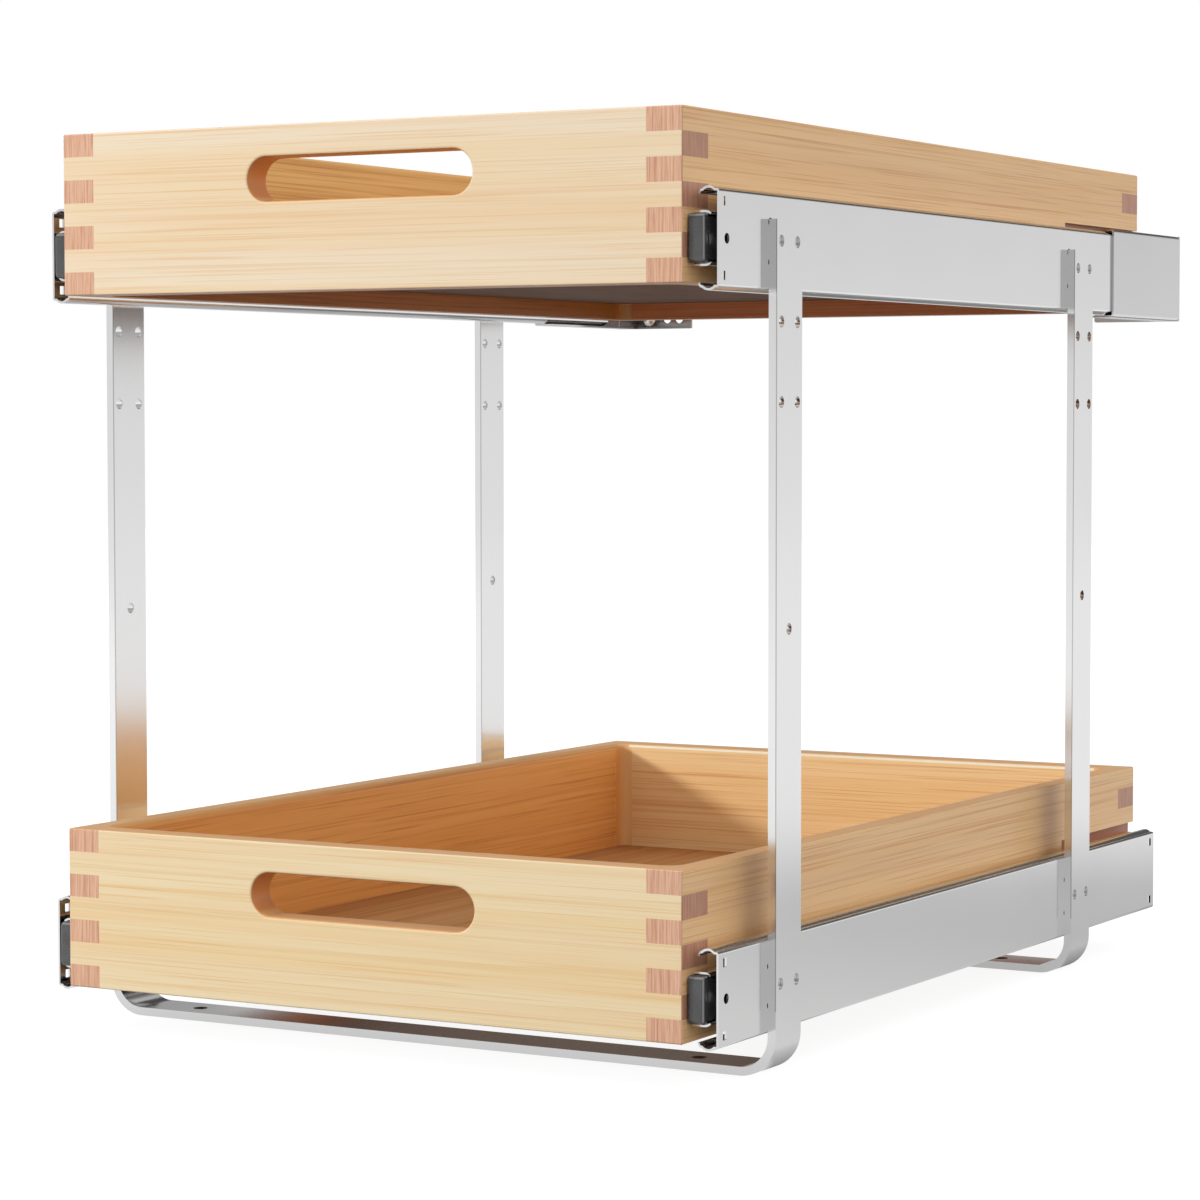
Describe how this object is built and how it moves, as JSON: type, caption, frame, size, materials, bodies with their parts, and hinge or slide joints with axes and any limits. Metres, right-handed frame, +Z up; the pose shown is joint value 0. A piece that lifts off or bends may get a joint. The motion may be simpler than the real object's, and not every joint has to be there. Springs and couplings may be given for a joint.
{
  "type": "pull-out cabinet organizer",
  "caption": "Two-tier pull-out cabinet organizer: shallow finger-jointed wooden drawers with slot handles on full-extension ball bearing slides between two U-shaped flat-bar frames.",
  "frame": {"origin": "centre of the overall box in X and Y, at the level of the cabinet floor", "axes": "+X right as seen from the front, +Y from the front to the rear, +Z up; the drawers pull out along -Y"},
  "size_m": [0.368, 0.5734, 0.4279],
  "materials": {
    "frame_steel": "satin",
    "rail_steel": "bright zinc, satin",
    "bracket_steel": "bright zinc, satin",
    "cage_steel": "thin pressed strip",
    "ball_steel": "polished",
    "screw_steel": "bright zinc",
    "bumper_plastic": "black, fine texture",
    "end_wood": "clear satin lacquer, grain along X",
    "side_wood": "clear satin lacquer, grain along Y",
    "bottom_wood": "clear satin lacquer, grain along Y"
  },
  "bodies": {
    "frame": {"front_frame": "frame_steel", "rear_frame": "frame_steel", "rail_screws": "screw_steel", "rear_wall_screws": "screw_steel", "left_rear_bracket": "bracket_steel", "right_rear_bracket": "bracket_steel", "lower_left_cabinet_rail": "rail_steel", "lower_right_cabinet_rail": "rail_steel", "upper_left_cabinet_rail": "rail_steel", "upper_right_cabinet_rail": "rail_steel"},
    "lower_left_middle_rail": {"lower_left_middle_rail": "rail_steel"},
    "lower_left_outer_cage": {"lower_left_outer_ball_cage": "cage_steel", "lower_left_outer_balls": "ball_steel"},
    "lower_left_inner_cage": {"lower_left_inner_ball_cage": "cage_steel", "lower_left_inner_balls": "ball_steel"},
    "lower_right_middle_rail": {"lower_right_middle_rail": "rail_steel"},
    "lower_right_outer_cage": {"lower_right_outer_ball_cage": "cage_steel", "lower_right_outer_balls": "ball_steel"},
    "lower_right_inner_cage": {"lower_right_inner_ball_cage": "cage_steel", "lower_right_inner_balls": "ball_steel"},
    "lower_drawer": {"lower_drawer_front": "end_wood", "lower_drawer_back": "end_wood", "lower_drawer_left_side": "side_wood", "lower_drawer_right_side": "side_wood", "lower_drawer_bottom": "bottom_wood", "lower_drawer_rail_screws": "screw_steel", "lower_left_drawer_rail": "rail_steel", "lower_left_rail_bumper": "bumper_plastic", "lower_right_drawer_rail": "rail_steel", "lower_right_rail_bumper": "bumper_plastic"},
    "upper_left_middle_rail": {"upper_left_middle_rail": "rail_steel"},
    "upper_left_outer_cage": {"upper_left_outer_ball_cage": "cage_steel", "upper_left_outer_balls": "ball_steel"},
    "upper_left_inner_cage": {"upper_left_inner_ball_cage": "cage_steel", "upper_left_inner_balls": "ball_steel"},
    "upper_right_middle_rail": {"upper_right_middle_rail": "rail_steel"},
    "upper_right_outer_cage": {"upper_right_outer_ball_cage": "cage_steel", "upper_right_outer_balls": "ball_steel"},
    "upper_right_inner_cage": {"upper_right_inner_ball_cage": "cage_steel", "upper_right_inner_balls": "ball_steel"},
    "upper_drawer": {"upper_drawer_front": "end_wood", "upper_drawer_back": "end_wood", "upper_drawer_left_side": "side_wood", "upper_drawer_right_side": "side_wood", "upper_drawer_bottom": "bottom_wood", "upper_drawer_rail_screws": "screw_steel", "upper_left_drawer_rail": "rail_steel", "upper_left_rail_bumper": "bumper_plastic", "upper_right_drawer_rail": "rail_steel", "upper_right_rail_bumper": "bumper_plastic"}
  },
  "joints": [
    {"name": "lower_drawer_slide", "type": "slide", "parent": "frame", "child": "lower_drawer", "axis": [0, -1, 0], "range_m": [0, 0.52]},
    {"name": "lower_left_middle_slide", "type": "slide", "parent": "frame", "child": "lower_left_middle_rail", "axis": [0, -1, 0], "range_m": [0, 0.26]},
    {"name": "lower_left_outer_cage_slide", "type": "slide", "parent": "frame", "child": "lower_left_outer_cage", "axis": [0, -1, 0], "range_m": [0, 0.13]},
    {"name": "lower_left_inner_cage_slide", "type": "slide", "parent": "frame", "child": "lower_left_inner_cage", "axis": [0, -1, 0], "range_m": [0, 0.39]},
    {"name": "lower_right_middle_slide", "type": "slide", "parent": "frame", "child": "lower_right_middle_rail", "axis": [0, -1, 0], "range_m": [0, 0.26]},
    {"name": "lower_right_outer_cage_slide", "type": "slide", "parent": "frame", "child": "lower_right_outer_cage", "axis": [0, -1, 0], "range_m": [0, 0.13]},
    {"name": "lower_right_inner_cage_slide", "type": "slide", "parent": "frame", "child": "lower_right_inner_cage", "axis": [0, -1, 0], "range_m": [0, 0.39]},
    {"name": "upper_drawer_slide", "type": "slide", "parent": "frame", "child": "upper_drawer", "axis": [0, -1, 0], "range_m": [0, 0.52]},
    {"name": "upper_left_middle_slide", "type": "slide", "parent": "frame", "child": "upper_left_middle_rail", "axis": [0, -1, 0], "range_m": [0, 0.26]},
    {"name": "upper_left_outer_cage_slide", "type": "slide", "parent": "frame", "child": "upper_left_outer_cage", "axis": [0, -1, 0], "range_m": [0, 0.13]},
    {"name": "upper_left_inner_cage_slide", "type": "slide", "parent": "frame", "child": "upper_left_inner_cage", "axis": [0, -1, 0], "range_m": [0, 0.39]},
    {"name": "upper_right_middle_slide", "type": "slide", "parent": "frame", "child": "upper_right_middle_rail", "axis": [0, -1, 0], "range_m": [0, 0.26]},
    {"name": "upper_right_outer_cage_slide", "type": "slide", "parent": "frame", "child": "upper_right_outer_cage", "axis": [0, -1, 0], "range_m": [0, 0.13]},
    {"name": "upper_right_inner_cage_slide", "type": "slide", "parent": "frame", "child": "upper_right_inner_cage", "axis": [0, -1, 0], "range_m": [0, 0.39]}
  ],
  "couplings": [
    {"joint": "lower_left_middle_slide", "follows": "lower_drawer_slide", "ratio": 0.5},
    {"joint": "lower_left_outer_cage_slide", "follows": "lower_drawer_slide", "ratio": 0.25},
    {"joint": "lower_left_inner_cage_slide", "follows": "lower_drawer_slide", "ratio": 0.75},
    {"joint": "lower_right_middle_slide", "follows": "lower_drawer_slide", "ratio": 0.5},
    {"joint": "lower_right_outer_cage_slide", "follows": "lower_drawer_slide", "ratio": 0.25},
    {"joint": "lower_right_inner_cage_slide", "follows": "lower_drawer_slide", "ratio": 0.75},
    {"joint": "upper_left_middle_slide", "follows": "upper_drawer_slide", "ratio": 0.5},
    {"joint": "upper_left_outer_cage_slide", "follows": "upper_drawer_slide", "ratio": 0.25},
    {"joint": "upper_left_inner_cage_slide", "follows": "upper_drawer_slide", "ratio": 0.75},
    {"joint": "upper_right_middle_slide", "follows": "upper_drawer_slide", "ratio": 0.5},
    {"joint": "upper_right_outer_cage_slide", "follows": "upper_drawer_slide", "ratio": 0.25},
    {"joint": "upper_right_inner_cage_slide", "follows": "upper_drawer_slide", "ratio": 0.75}
  ]
}
